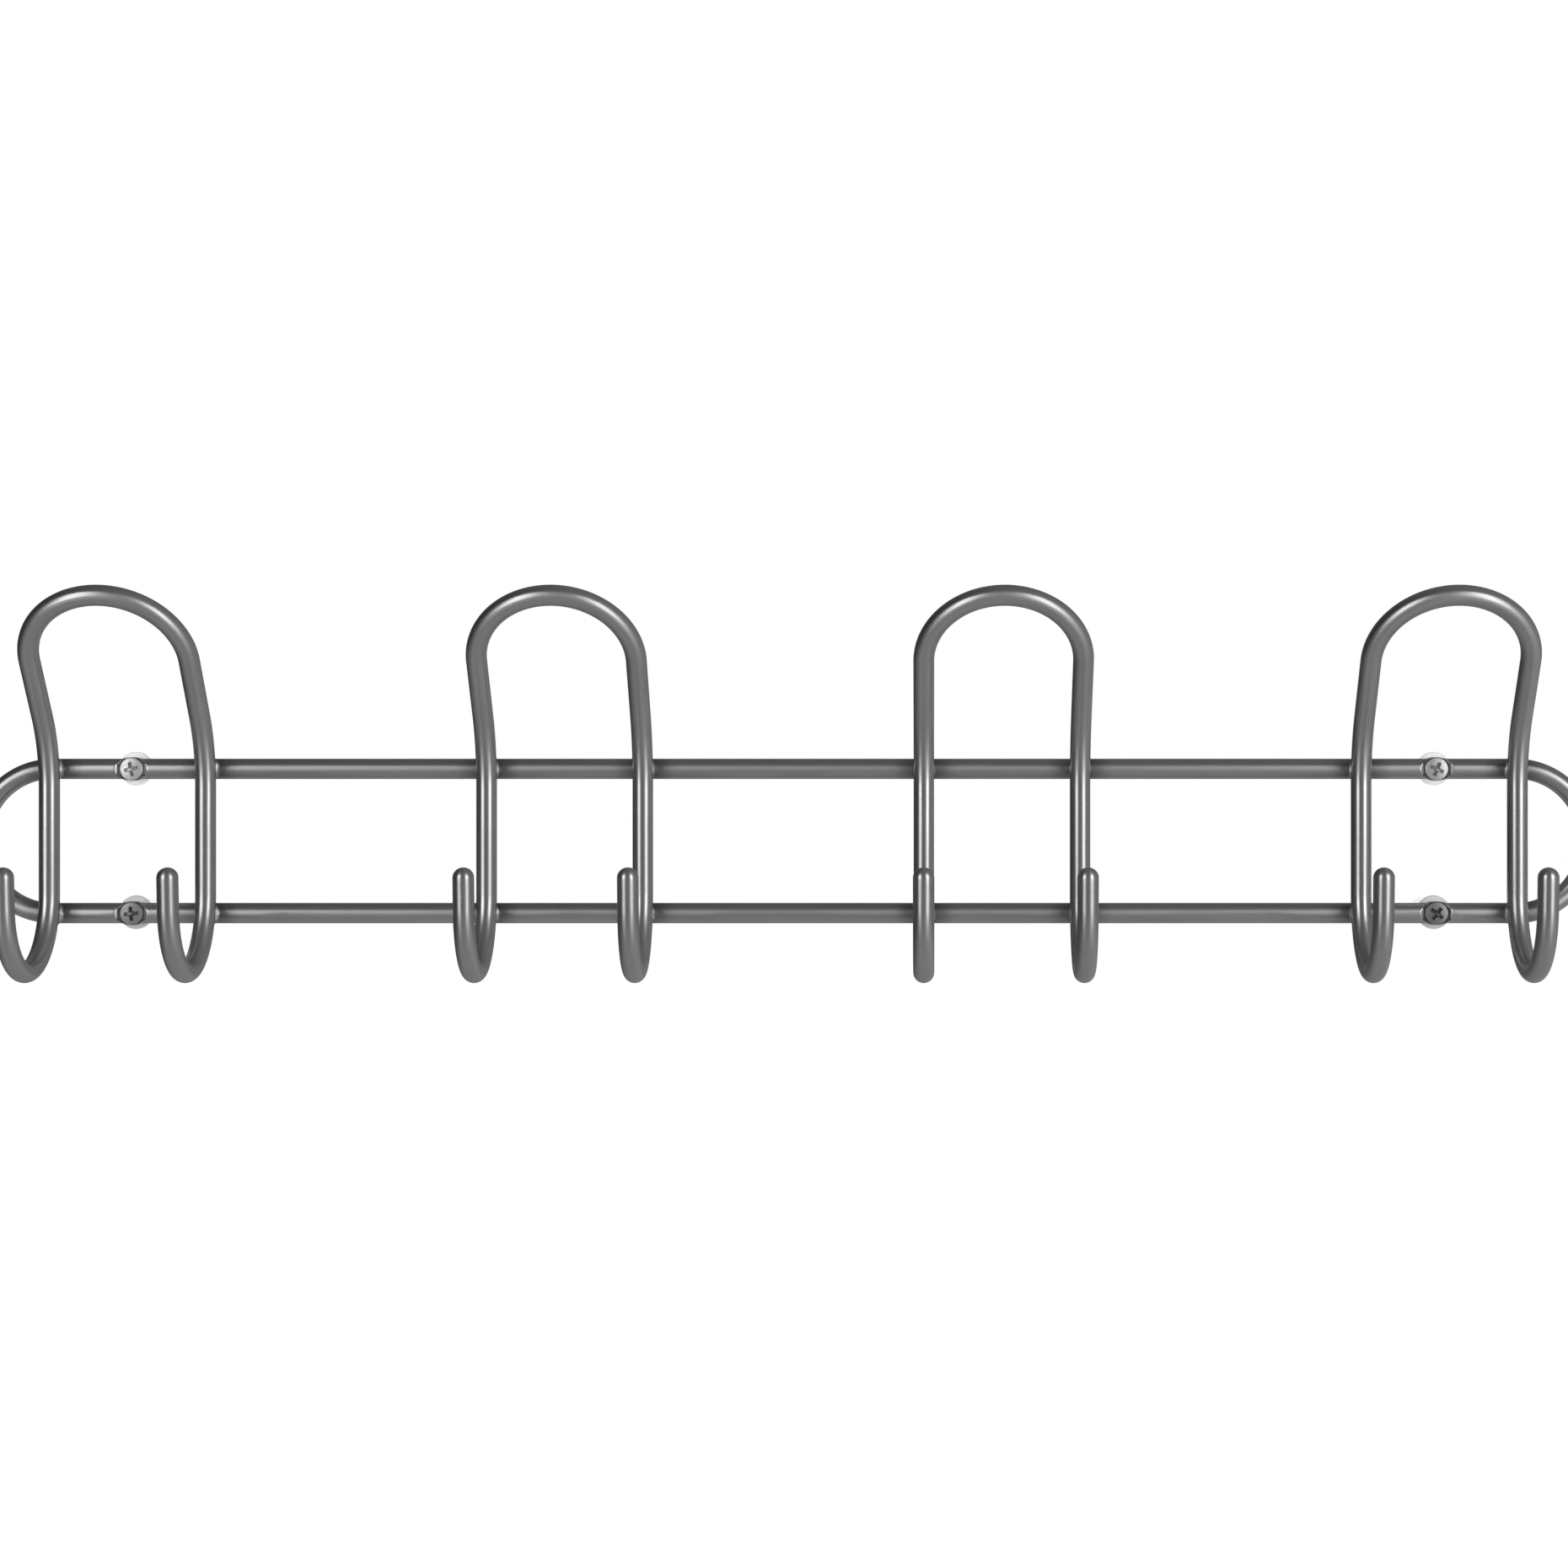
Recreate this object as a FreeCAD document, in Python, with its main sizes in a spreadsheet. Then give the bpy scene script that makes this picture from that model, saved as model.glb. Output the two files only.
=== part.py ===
import FreeCAD, Part
import math
import os

import Sketcher

# Wall hook rack: four double hooks of bent rod, welded across an obround ring of
# the same rod, and screwed through the ring into four plastic wall anchors.
#
# Frame: +X to the right as seen from the room, +Z up, the room on the -Y side.
# The wall's face is the plane Y = 0, and the origin is the centre of the four
# fixings on it. Lengths are in millimetres and angles in degrees.

DIMENSIONS = (
    ("rod_dia", 6.35, "round steel rod, 1/4 in"),
    ("ring_length", 508.0, "outside length of the ring, 20 in"),
    ("bar_spacing", 45.0, "centre height between the ring's two bars"),
    ("screw_spacing", 406.4, "between the screw columns, 16 in"),
    ("leg_spacing", 48.4, "between the two legs of a hook"),
    ("hook_radius", 22.4, "centreline radius of the J"),
    ("hook_drop", 15.7, "J centre below the ring's middle"),
    ("tip_lean", 4.0, "forward lean of the J's tip"),
    ("tip_length", 9.3, "straight part of the tip"),
    ("dome_height", 3.0, "rounded end of the tip"),
    ("bend_start", 16.9, "height where the leg starts to lean"),
    ("bend_radius", 36.6, "centreline radius of that bend"),
    ("loop_lean", 36.6, "forward lean of the top loop"),
    ("loop_straight", 21.5, "straight part below the loop's arch"),
    ("weld_gap", 0.2, "metal left between the two rods at a weld"),
    ("weld_width", 7.8, "nugget size along the bars"),
    ("weld_depth", 3.6, "nugget size through the joint"),
    ("seat_thick", 5.2, "rod thickness coined flat at a screw"),
    ("seat_width", 7.4, "rod width pressed out at a screw"),
    ("seat_length", 11.4, "length of the pressed-out swelling"),
    ("seat_depth", 13.0, "depth of the swelling before it is coined"),
    ("flat_length", 8.8, "length of the coined flat"),
    ("flat_runout", 1.0, "slope at each end of the flat"),
    ("hole_dia", 4.0, "clearance hole for the screw"),
    ("sink_dia", 7.7, "mouth of the countersink"),
    ("head_dia", 7.1, "screw head"),
    ("head_land", 0.15, "upright edge of the screw head"),
    ("head_dome", 0.4, "rise of the oval head"),
    ("head_inset", 0.13, "head edge below the coined flat"),
    ("shank_dia", 3.5, "no. 6 screw, over the thread"),
    ("core_dia", 2.5, "thread root"),
    ("thread_start", 9.0, "plain shank below the head's edge"),
    ("thread_pitch", 1.4, "18 threads to the inch"),
    ("thread_turns", 14, "ridges on the screw"),
    ("screw_length", 31.0, "below the head's edge, 1 1/4 in screw"),
    ("point_length", 3.0, "tapered point"),
    ("recess_span", 4.5, "cross recess, tip to tip"),
    ("recess_slot", 1.1, "width of one arm of the cross"),
    ("recess_depth", 1.5, "depth of the arms"),
    ("recess_taper", 8.0, "draft of the arms"),
    ("recess_core", 2.3, "mouth of the recess's centre cone"),
    ("collar_dia", 10.5, "anchor collar"),
    ("collar_thick", 1.5, "anchor collar, stands the ring off the wall"),
    ("collar_round", 0.5, "rounded front edge of the collar"),
    ("anchor_dia", 6.0, "anchor body, for a 6 mm hole"),
    ("anchor_length", 27.0, "anchor body behind the wall's face"),
    ("anchor_plain", 8.0, "anchor body before its barbs"),
    ("anchor_bore", 3.7, "bore that the screw runs in"),
    ("anchor_nose", 4.6, "diameter at the tip"),
    ("barb_depth", 0.5, "groove between two barbs"),
    ("barb_pitch", 3.0, "between barbs"),
    ("barb_count", 5, "barbs on one anchor"),
    ("split_width", 0.9, "slot that lets the anchor spread"),
)
size = {alias: value for alias, value, meaning in DIMENSIONS}

HOOK_COUNT = 4
SIDES = {"left": -1, "right": 1}
HEIGHTS = {"top": 1, "bottom": -1}
# How far each driver recess happens to be turned when its screw is tight.
SCREW_TURN = {"top_left": -15.0, "bottom_left": -5.0, "top_right": 22.0, "bottom_right": 30.0}

# Formulas that several sub-parts share.
RING_Y = "-(dims.collar_thick + dims.seat_thick / 2)"
ROD_STEP = "(dims.rod_dia + dims.weld_gap)"
LEG_Y = f"{RING_Y} - {ROD_STEP}"
SCREW_Y = f"{RING_Y} - dims.seat_thick / 2 + dims.head_inset"

doc = FreeCAD.newDocument("wall_hook_rack")
os.makedirs("parts", exist_ok=True)


# ---------------------------------------------------------------- helpers

def make_sheet():
    """Spreadsheet of the driving dimensions, one alias for each."""
    sheet = doc.addObject("Spreadsheet::Sheet", "dims")
    for row, (alias, value, meaning) in enumerate(DIMENSIONS, start=1):
        sheet.set(f"A{row}", meaning)
        sheet.set(f"B{row}", str(value))
        sheet.setAlias(f"B{row}", alias)
    doc.recompute()
    return sheet


def make_body(name):
    body = doc.addObject("PartDesign::Body", name)
    body.Label = name
    return body


def bind(obj, **formulas):
    """Bind plain properties of an object to formulas."""
    for prop, formula in formulas.items():
        obj.setExpression(prop, formula)


def bind_position(obj, across, depth, height, prop="Placement"):
    obj.setExpression(f"{prop}.Base.x", across)
    obj.setExpression(f"{prop}.Base.y", depth)
    obj.setExpression(f"{prop}.Base.z", height)


def origin_item(body, role):
    return next(item for item in body.Origin.OriginFeatures if item.Role == role)


def make_sketch(body, name, plane):
    sketch = body.newObject("Sketcher::SketchObject", name)
    sketch.AttachmentSupport = (origin_item(body, plane), [""])
    sketch.MapMode = "FlatFace"
    return sketch


def bind_offset(sketch, across, up, out, turn=None, turn_axis=(0, 0, 1)):
    """Shift, and turn if asked, a sketch in its own plane's frame."""
    if turn:
        axis = FreeCAD.Vector(*turn_axis)
        sketch.AttachmentOffset = FreeCAD.Placement(FreeCAD.Vector(), FreeCAD.Rotation(axis, 1))
        sketch.setExpression("AttachmentOffset.Rotation.Angle", turn)
    bind_position(sketch, across, up, out, "AttachmentOffset")


def pin_point(sketch, item, spot, across, up):
    """Hold a point of a sketch at two formulas measured from its origin."""
    for kind, formula, axis in (("DistanceX", across, -2), ("DistanceY", up, -1)):
        if formula == "0":
            sketch.addConstraint(Sketcher.Constraint("PointOnObject", item, spot, axis))
            continue
        index = sketch.addConstraint(Sketcher.Constraint(kind, -1, 1, item, spot, 1.0))
        sketch.setExpression(f"Constraints[{index}]", formula)


def bind_constraint(sketch, formula, kind, *where):
    index = sketch.addConstraint(Sketcher.Constraint(kind, *where))
    sketch.setExpression(f"Constraints[{index}]", formula)


def draw_circle(sketch, across, up, radius):
    centre = FreeCAD.Vector(1, 1, 0)
    item = sketch.addGeometry(Part.Circle(centre, FreeCAD.Vector(0, 0, 1), 1.0))
    bind_constraint(sketch, radius, "Radius", item, 1.0)
    pin_point(sketch, item, 3, across, up)


def draw_outline(sketch, corners):
    """Closed outline of straight sides, each corner held by two formulas."""
    count = len(corners)
    ring = [2 * math.pi * i / count for i in range(count)]
    start = [FreeCAD.Vector(10 + math.cos(a), 10 + math.sin(a), 0) for a in ring]
    sides = [sketch.addGeometry(Part.LineSegment(start[i], start[(i + 1) % count]))
             for i in range(count)]
    for i, side in enumerate(sides):
        after = sides[(i + 1) % count]
        sketch.addConstraint(Sketcher.Constraint("Coincident", side, 2, after, 1))
        pin_point(sketch, side, 1, *corners[i])


def turn_profile(body, name, sketch, angle="360", kind="Revolution", reverse=False):
    """Revolve a sketch about its own vertical axis."""
    feature = body.newObject(f"PartDesign::{kind}", name)
    feature.Profile = sketch
    feature.ReferenceAxis = (sketch, ["V_Axis"])
    feature.Reversed = reverse
    feature.setExpression("Angle", angle)
    return feature


def sweep(body, name, profile, path):
    feature = body.newObject("PartDesign::AdditivePipe", name)
    feature.Profile = profile
    feature.Spine = (path, [f"Edge{i + 1}" for i in range(path.GeometryCount)])
    return feature


def solid_volume(body, step):
    """Volume after a step, which must leave one valid solid."""
    doc.recompute()
    if not body.Shape.isValid() or len(body.Shape.Solids) != 1:
        raise RuntimeError(f"{body.Label}: {step} leaves no single valid solid")
    return body.Shape.Volume


def check_cut(body, before, step):
    """A cut that points away from the solid removes nothing and raises no error."""
    after = solid_volume(body, step)
    if after > before - 0.01:
        raise RuntimeError(f"{body.Label}: {step} removes nothing")
    return after


# ---------------------------------------------------------------- mounting ring

def draw_ring_path(sketch):
    """Obround centreline, from the middle of its top bar and round to it again."""
    radius = size["bar_spacing"] / 2
    reach = (size["ring_length"] - size["rod_dia"]) / 2 - radius
    top_middle = FreeCAD.Vector(0, radius, 0)
    normal = FreeCAD.Vector(0, 0, 1)
    quarter = math.pi / 2

    def end_arc(centre_x, start):
        circle = Part.Circle(FreeCAD.Vector(centre_x, 0, 0), normal, radius)
        return Part.ArcOfCircle(circle, start, start + math.pi)

    def corner(x_sign, z_sign):
        return FreeCAD.Vector(x_sign * reach, z_sign * radius, 0)

    sketch.addGeometry([
        Part.LineSegment(top_middle, corner(1, 1)),
        end_arc(reach, -quarter),
        Part.LineSegment(corner(1, -1), corner(-1, -1)),
        end_arc(-reach, quarter),
        Part.LineSegment(corner(-1, 1), top_middle),
    ])
    joins = ((0, 2, 1, 2), (1, 1, 2, 1), (2, 2, 3, 2), (3, 1, 4, 1))
    for join in joins:
        sketch.addConstraint(Sketcher.Constraint("Tangent", *join))
    sketch.addConstraint(Sketcher.Constraint("Coincident", 4, 2, 0, 1))
    sketch.addConstraint(Sketcher.Constraint("Horizontal", 0))
    sketch.addConstraint(Sketcher.Constraint("Horizontal", 4))
    sketch.addConstraint(Sketcher.Constraint("PointOnObject", 0, 1, -2))
    sketch.addConstraint(Sketcher.Constraint("Symmetric", 1, 3, 3, 3, -1, 1))
    bind_constraint(sketch, "dims.bar_spacing / 2", "Radius", 1, radius)
    half_run = "(dims.ring_length - dims.rod_dia - dims.bar_spacing) / 2"
    bind_constraint(sketch, half_run, "DistanceX", 0, 1, 0, 2, reach)


def add_screw_swellings(body):
    """The rod is pressed wider than it is round at each of the four screws."""
    for height, z_sign in HEIGHTS.items():
        for side, x_sign in SIDES.items():
            swelling = body.newObject("PartDesign::AdditiveEllipsoid", f"swelling_{height}_{side}")
            swelling.AttachmentSupport = (origin_item(body, "XY_Plane"), [""])
            swelling.MapMode = "FlatFace"
            bind(swelling, Radius1="dims.seat_width / 2", Radius2="dims.seat_length / 2",
                 Radius3="dims.seat_depth / 2")
            bind_position(swelling, f"{x_sign} * dims.screw_spacing / 2", "0",
                          f"{z_sign} * dims.bar_spacing / 2", "AttachmentOffset")


def cut_screw_flats(body):
    """Coin the swellings flat, front and back, with a slope at each end of a flat."""
    sketch = make_sketch(body, "flat_outlines", "XY_Plane")
    face = "dims.seat_thick / 2"
    outside = "dims.seat_depth"
    slope_end = f"{face} + dims.flat_runout"
    half = "dims.flat_length / 2"
    for x_sign in SIDES.values():
        middle = f"{x_sign} * dims.screw_spacing / 2"
        for y_sign in (-1, 1):
            draw_outline(sketch, (
                (f"{middle} - {half}", f"{y_sign} * ({face})"),
                (f"{middle} + {half}", f"{y_sign} * ({face})"),
                (f"{middle} + {half} + dims.flat_runout", f"{y_sign} * ({slope_end})"),
                (f"{middle} + {half} + dims.flat_runout", f"{y_sign} * {outside}"),
                (f"{middle} - {half} - dims.flat_runout", f"{y_sign} * {outside}"),
                (f"{middle} - {half} - dims.flat_runout", f"{y_sign} * ({slope_end})"),
            ))
    pocket = body.newObject("PartDesign::Pocket", "coined_flats")
    pocket.Profile = sketch
    pocket.Midplane = True
    bind(pocket, Length="dims.bar_spacing + 4 * dims.rod_dia")


def drill_screw_holes(body):
    """Clearance holes with a 90 degree countersink in the room side of each flat."""
    sketch = make_sketch(body, "hole_centres", "XZ_Plane")
    bind_offset(sketch, "0", "0", "dims.seat_thick / 2")
    for z_sign in HEIGHTS.values():
        for x_sign in SIDES.values():
            draw_circle(sketch, f"{x_sign} * dims.screw_spacing / 2",
                        f"{z_sign} * dims.bar_spacing / 2", "dims.hole_dia / 2")
    doc.recompute()
    hole = body.newObject("PartDesign::Hole", "screw_holes")
    hole.Profile = sketch
    hole.DepthType = "ThroughAll"
    hole.HoleCutType = "Countersink"
    hole.HoleCutCustomValues = True
    bind(hole, Diameter="dims.hole_dia", HoleCutDiameter="dims.sink_dia")
    hole.HoleCutCountersinkAngle = 90


def make_ring():
    body = make_body("frame_ring")
    path = make_sketch(body, "ring_path", "XZ_Plane")
    draw_ring_path(path)
    section = make_sketch(body, "ring_section", "YZ_Plane")
    draw_circle(section, "0", "dims.bar_spacing / 2", "dims.rod_dia / 2")
    doc.recompute()
    sweep(body, "ring_rod", section, path)
    solid_volume(body, "sweeping the rod")
    add_screw_swellings(body)
    volume = solid_volume(body, "pressing the seats")
    cut_screw_flats(body)
    volume = check_cut(body, volume, "coining the flats")
    drill_screw_holes(body)
    check_cut(body, volume, "drilling the holes")
    bind_position(body, "0", RING_Y, "0")
    return body


# ---------------------------------------------------------------- double hooks

def draw_hook_path(sketch):
    """Side view of one leg, from the foot of the arch down to the J's tip.

    The leg runs along the sketch's vertical axis, with the room on the left.
    """
    lean = math.radians(size["loop_lean"])
    tip = math.radians(size["tip_lean"])
    bend = size["bend_radius"]
    hook = size["hook_radius"]
    normal = FreeCAD.Vector(0, 0, 1)
    leg_top = FreeCAD.Vector(0, size["bend_start"], 0)
    leg_foot = FreeCAD.Vector(0, -size["hook_drop"], 0)
    bend_centre = leg_top + FreeCAD.Vector(-bend, 0, 0)
    hook_centre = leg_foot + FreeCAD.Vector(-hook, 0, 0)
    loop_way = FreeCAD.Vector(-math.sin(lean), math.cos(lean), 0)
    tip_way = FreeCAD.Vector(-math.sin(tip), math.cos(tip), 0)
    bend_end = bend_centre + FreeCAD.Vector(bend * math.cos(lean), bend * math.sin(lean), 0)
    hook_end = hook_centre - FreeCAD.Vector(hook * math.cos(tip), hook * math.sin(tip), 0)
    bend_arc = Part.ArcOfCircle(Part.Circle(bend_centre, normal, bend), 0, lean)
    hook_arc = Part.ArcOfCircle(Part.Circle(hook_centre, normal, hook), math.pi + tip, 2 * math.pi)
    sketch.addGeometry([
        Part.LineSegment(bend_end + loop_way * size["loop_straight"], bend_end),
        bend_arc,
        Part.LineSegment(leg_top, leg_foot),
        hook_arc,
        Part.LineSegment(hook_end, hook_end + tip_way * size["tip_length"]),
    ])
    joins = ((0, 2, 1, 2), (1, 1, 2, 1), (2, 2, 3, 2), (3, 1, 4, 1))
    for join in joins:
        sketch.addConstraint(Sketcher.Constraint("Tangent", *join))
    pin_point(sketch, 2, 1, "0", "dims.bend_start")
    pin_point(sketch, 2, 2, "0", "-dims.hook_drop")
    bind_constraint(sketch, "dims.bend_radius", "Radius", 1, bend)
    bind_constraint(sketch, "dims.hook_radius", "Radius", 3, hook)
    bind_constraint(sketch, "dims.loop_straight", "Distance", 0, size["loop_straight"])
    bind_constraint(sketch, "dims.tip_length", "Distance", 4, size["tip_length"])
    rise = "dims.loop_straight * cos(dims.loop_lean)"
    bind_constraint(sketch, rise, "DistanceY", 0, 2, 0, 1, size["loop_straight"] * math.cos(lean))
    rise = "dims.tip_length * cos(dims.tip_lean)"
    bind_constraint(sketch, rise, "DistanceY", 4, 1, 4, 2, size["tip_length"] * math.cos(tip))


def draw_dome(sketch):
    """Quarter of the rounded end: a shallow arc from the rod's edge to its axis."""
    radius = size["rod_dia"] / 2
    rise = size["dome_height"]
    curve = (radius ** 2 + rise ** 2) / (2 * rise)
    centre = FreeCAD.Vector(0, rise - curve, 0)
    edge_angle = math.asin((curve - rise) / curve)
    foot = FreeCAD.Vector(0, 0, 0)
    edge = FreeCAD.Vector(radius, 0, 0)
    peak = FreeCAD.Vector(0, rise, 0)
    circle = Part.Circle(centre, FreeCAD.Vector(0, 0, 1), curve)
    sketch.addGeometry([
        Part.LineSegment(foot, edge),
        Part.ArcOfCircle(circle, edge_angle, math.pi / 2),
        Part.LineSegment(peak, foot),
    ])
    sketch.addConstraint(Sketcher.Constraint("Coincident", 0, 2, 1, 1))
    sketch.addConstraint(Sketcher.Constraint("Coincident", 1, 2, 2, 1))
    sketch.addConstraint(Sketcher.Constraint("Coincident", 2, 2, 0, 1))
    sketch.addConstraint(Sketcher.Constraint("Coincident", 0, 1, -1, 1))
    sketch.addConstraint(Sketcher.Constraint("PointOnObject", 1, 3, -2))
    pin_point(sketch, 0, 2, "dims.rod_dia / 2", "0")
    pin_point(sketch, 2, 1, "0", "dims.dome_height")


def make_hook(number):
    """Loop, two legs and two J hooks, bent from one rod, seen from the loop down."""
    body = make_body(f"hook_{number}")
    half = "dims.leg_spacing / 2"

    arch_section = make_sketch(body, f"arch_section_{number}", "XY_Plane")
    run = "dims.loop_straight"
    depth = f"-(dims.bend_radius * (1 - cos(dims.loop_lean)) + {run} * sin(dims.loop_lean))"
    height = f"dims.bend_start + dims.bend_radius * sin(dims.loop_lean) + {run} * cos(dims.loop_lean)"
    bind_offset(arch_section, "0", depth, height, "dims.loop_lean", (1, 0, 0))
    draw_circle(arch_section, half, "0", "dims.rod_dia / 2")
    turn_profile(body, f"arch_{number}", arch_section, "180", reverse=True)

    path = make_sketch(body, f"leg_path_{number}", "YZ_Plane")
    bind_offset(path, "0", "0", half)
    draw_hook_path(path)
    doc.recompute()
    leg = sweep(body, f"leg_{number}", arch_section, path)

    dome_profile = make_sketch(body, f"dome_profile_{number}", "YZ_Plane")
    forward = ("-dims.hook_radius * (1 + cos(dims.tip_lean))"
               " - dims.tip_length * sin(dims.tip_lean)")
    up = ("-dims.hook_drop - dims.hook_radius * sin(dims.tip_lean)"
          " + dims.tip_length * cos(dims.tip_lean)")
    bind_offset(dome_profile, forward, up, half, "dims.tip_lean")
    draw_dome(dome_profile)
    dome = turn_profile(body, f"dome_{number}", dome_profile)
    doc.recompute()

    other_side = body.newObject("PartDesign::Mirrored", f"other_leg_{number}")
    other_side.Originals = [leg, dome]
    other_side.MirrorPlane = (origin_item(body, "YZ_Plane"), [""])
    body.Tip = other_side
    solid_volume(body, "mirroring the leg")

    column = number - (HOOK_COUNT + 1) / 2
    bind_position(body, f"{column} * dims.screw_spacing / {HOOK_COUNT - 1}", LEG_Y, "0")
    return body


# ---------------------------------------------------------------- cross-wire welds

def make_rod_stub(name, axis, depth):
    """Stretch of rod through a crossing, used to cut a nugget to its rods."""
    stub = doc.addObject("Part::Cylinder", name)
    stub.Placement.Rotation = FreeCAD.Rotation(FreeCAD.Vector(0, 0, 1), axis)
    bind(stub, Radius="dims.rod_dia / 2", Height="3 * dims.rod_dia")
    bind_position(stub, f"{-1.5 * axis.x} * dims.rod_dia", depth, f"{-1.5 * axis.z} * dims.rod_dia")
    return stub


def make_weld(name, across, height):
    """Flattened bead of squeezed metal between a leg and a bar, cut to both rods."""
    bead = doc.addObject("Part::Ellipsoid", f"{name}_bead")
    bind(bead, Radius1="dims.weld_width / 2", Radius2="dims.weld_width / 2",
         Radius3="dims.weld_depth / 2")
    bar = make_rod_stub(f"{name}_bar", FreeCAD.Vector(1, 0, 0), f"{ROD_STEP} / 2")
    leg = make_rod_stub(f"{name}_leg", FreeCAD.Vector(0, 0, 1), f"-{ROD_STEP} / 2")
    rods = doc.addObject("Part::Fuse", f"{name}_rods")
    rods.Base = bar
    rods.Tool = leg
    weld = doc.addObject("Part::Cut", name)
    weld.Base = bead
    weld.Tool = rods
    weld.Label = name
    bind_position(weld, across, f"{RING_Y} - {ROD_STEP} / 2", height)
    return weld


def make_welds():
    """One weld where each of the eight legs crosses each of the two bars."""
    welds = []
    for number in range(1, HOOK_COUNT + 1):
        column = number - (HOOK_COUNT + 1) / 2
        middle = f"{column} * dims.screw_spacing / {HOOK_COUNT - 1}"
        for side, x_sign in SIDES.items():
            for height, z_sign in HEIGHTS.items():
                across = f"{middle} + {x_sign} * dims.leg_spacing / 2"
                up = f"{z_sign} * dims.bar_spacing / 2"
                welds.append(make_weld(f"weld_{number}_{side}_{height}", across, up))
    return welds


# ---------------------------------------------------------------- wall screws

def draw_screw_core(sketch):
    """Half section about the sketch's vertical axis, which runs from head to point."""
    head = "dims.head_dia / 2"
    core = "dims.core_dia / 2"
    neck = "dims.shank_dia / 2"
    cone_end = f"dims.head_land + {head} - {neck}"
    draw_outline(sketch, (
        ("0", "0"),
        (head, "0"),
        (head, "dims.head_land"),
        (neck, cone_end),
        (neck, "dims.thread_start - dims.thread_pitch"),
        (core, "dims.thread_start"),
        (core, "dims.screw_length - dims.point_length"),
        ("0", "dims.screw_length"),
    ))


def draw_head_dome(sketch):
    """Low spherical cap on the head, drawn as its half section."""
    radius = size["head_dia"] / 2
    rise = size["head_dome"]
    curve = (radius ** 2 + rise ** 2) / (2 * rise)
    circle = Part.Circle(FreeCAD.Vector(0, curve - rise, 0), FreeCAD.Vector(0, 0, 1), curve)
    edge_angle = -math.asin((curve - rise) / curve)
    middle = FreeCAD.Vector(0, 0, 0)
    peak = FreeCAD.Vector(0, -rise, 0)
    edge = FreeCAD.Vector(radius, 0, 0)
    sketch.addGeometry([
        Part.LineSegment(middle, peak),
        Part.ArcOfCircle(circle, -math.pi / 2, edge_angle),
        Part.LineSegment(edge, middle),
    ])
    sketch.addConstraint(Sketcher.Constraint("Coincident", 0, 2, 1, 1))
    sketch.addConstraint(Sketcher.Constraint("Coincident", 1, 2, 2, 1))
    sketch.addConstraint(Sketcher.Constraint("Coincident", 2, 2, 0, 1))
    sketch.addConstraint(Sketcher.Constraint("Coincident", 0, 1, -1, 1))
    sketch.addConstraint(Sketcher.Constraint("PointOnObject", 1, 3, -2))
    pin_point(sketch, 2, 1, "dims.head_dia / 2", "0")
    pin_point(sketch, 0, 2, "0", "-dims.head_dome")


def add_thread(body, name):
    """Ridges of the thread's pitch, the first at the end of the plain shank."""
    ridge_profile = make_sketch(body, f"{name}_ridge_profile", "XY_Plane")
    root = "dims.core_dia / 2"
    draw_outline(ridge_profile, (
        (f"{root} - 0.1", "dims.thread_start - dims.thread_pitch * 0.1"),
        ("dims.shank_dia / 2", "dims.thread_start + dims.thread_pitch * 0.3"),
        (f"{root} - 0.1", "dims.thread_start + dims.thread_pitch * 0.7"),
    ))
    ridge = turn_profile(body, f"{name}_ridge", ridge_profile)
    doc.recompute()
    thread = body.newObject("PartDesign::LinearPattern", f"{name}_thread")
    thread.Originals = [ridge]
    thread.Direction = (ridge_profile, ["V_Axis"])
    bind(thread, Occurrences="dims.thread_turns",
         Length="dims.thread_pitch * (dims.thread_turns - 1)")
    body.Tip = thread


def cut_recess(body, name):
    """Cross recess: two crossing slots with draft, and a cone at their centre."""
    arm_outline = make_sketch(body, f"{name}_arm_outline", "XZ_Plane")
    bind_offset(arm_outline, "0", "0", "dims.head_dome")
    span = "dims.recess_span / 2"
    slot = "dims.recess_slot / 2"
    draw_outline(arm_outline, (
        (f"-{span}", f"-{slot}"), (span, f"-{slot}"), (span, slot), (f"-{span}", slot),
    ))
    arm = body.newObject("PartDesign::Pocket", f"{name}_arm")
    arm.Profile = arm_outline
    bind(arm, Length="dims.recess_depth + dims.head_dome", TaperAngle="-dims.recess_taper")
    doc.recompute()
    arms = body.newObject("PartDesign::PolarPattern", f"{name}_arms")
    arms.Originals = [arm]
    arms.Axis = (arm_outline, ["N_Axis"])
    arms.Angle = 90
    arms.Occurrences = 2
    body.Tip = arms
    doc.recompute()
    cone_profile = make_sketch(body, f"{name}_cone_profile", "XY_Plane")
    mouth = "dims.recess_core / 2"
    draw_outline(cone_profile, (
        ("0", "-dims.head_dome - 0.1"), (mouth, "-dims.head_dome - 0.1"),
        (f"{mouth} * 0.4", "dims.recess_depth"), ("0", "dims.recess_depth + 0.4"),
    ))
    turn_profile(body, f"{name}_cone", cone_profile, kind="Groove")


def make_screw(place):
    """Countersunk screw along +Y, head's edge at its own origin, point in the wall."""
    height, side = place.split("_")
    name = f"screw_{place}"
    body = make_body(name)
    core_profile = make_sketch(body, f"{name}_core_profile", "XY_Plane")
    draw_screw_core(core_profile)
    turn_profile(body, f"{name}_core", core_profile)
    dome_profile = make_sketch(body, f"{name}_dome_profile", "XY_Plane")
    draw_head_dome(dome_profile)
    turn_profile(body, f"{name}_dome", dome_profile)
    add_thread(body, name)
    volume = solid_volume(body, "adding the thread")
    cut_recess(body, name)
    check_cut(body, volume, "cutting the cross recess")
    turned = FreeCAD.Rotation(FreeCAD.Vector(0, -1, 0), SCREW_TURN[place])
    body.Placement = FreeCAD.Placement(FreeCAD.Vector(), turned)
    bind_position(body, f"{SIDES[side]} * dims.screw_spacing / 2", SCREW_Y,
                  f"{HEIGHTS[height]} * dims.bar_spacing / 2")
    return body


# ---------------------------------------------------------------- wall anchors

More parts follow.
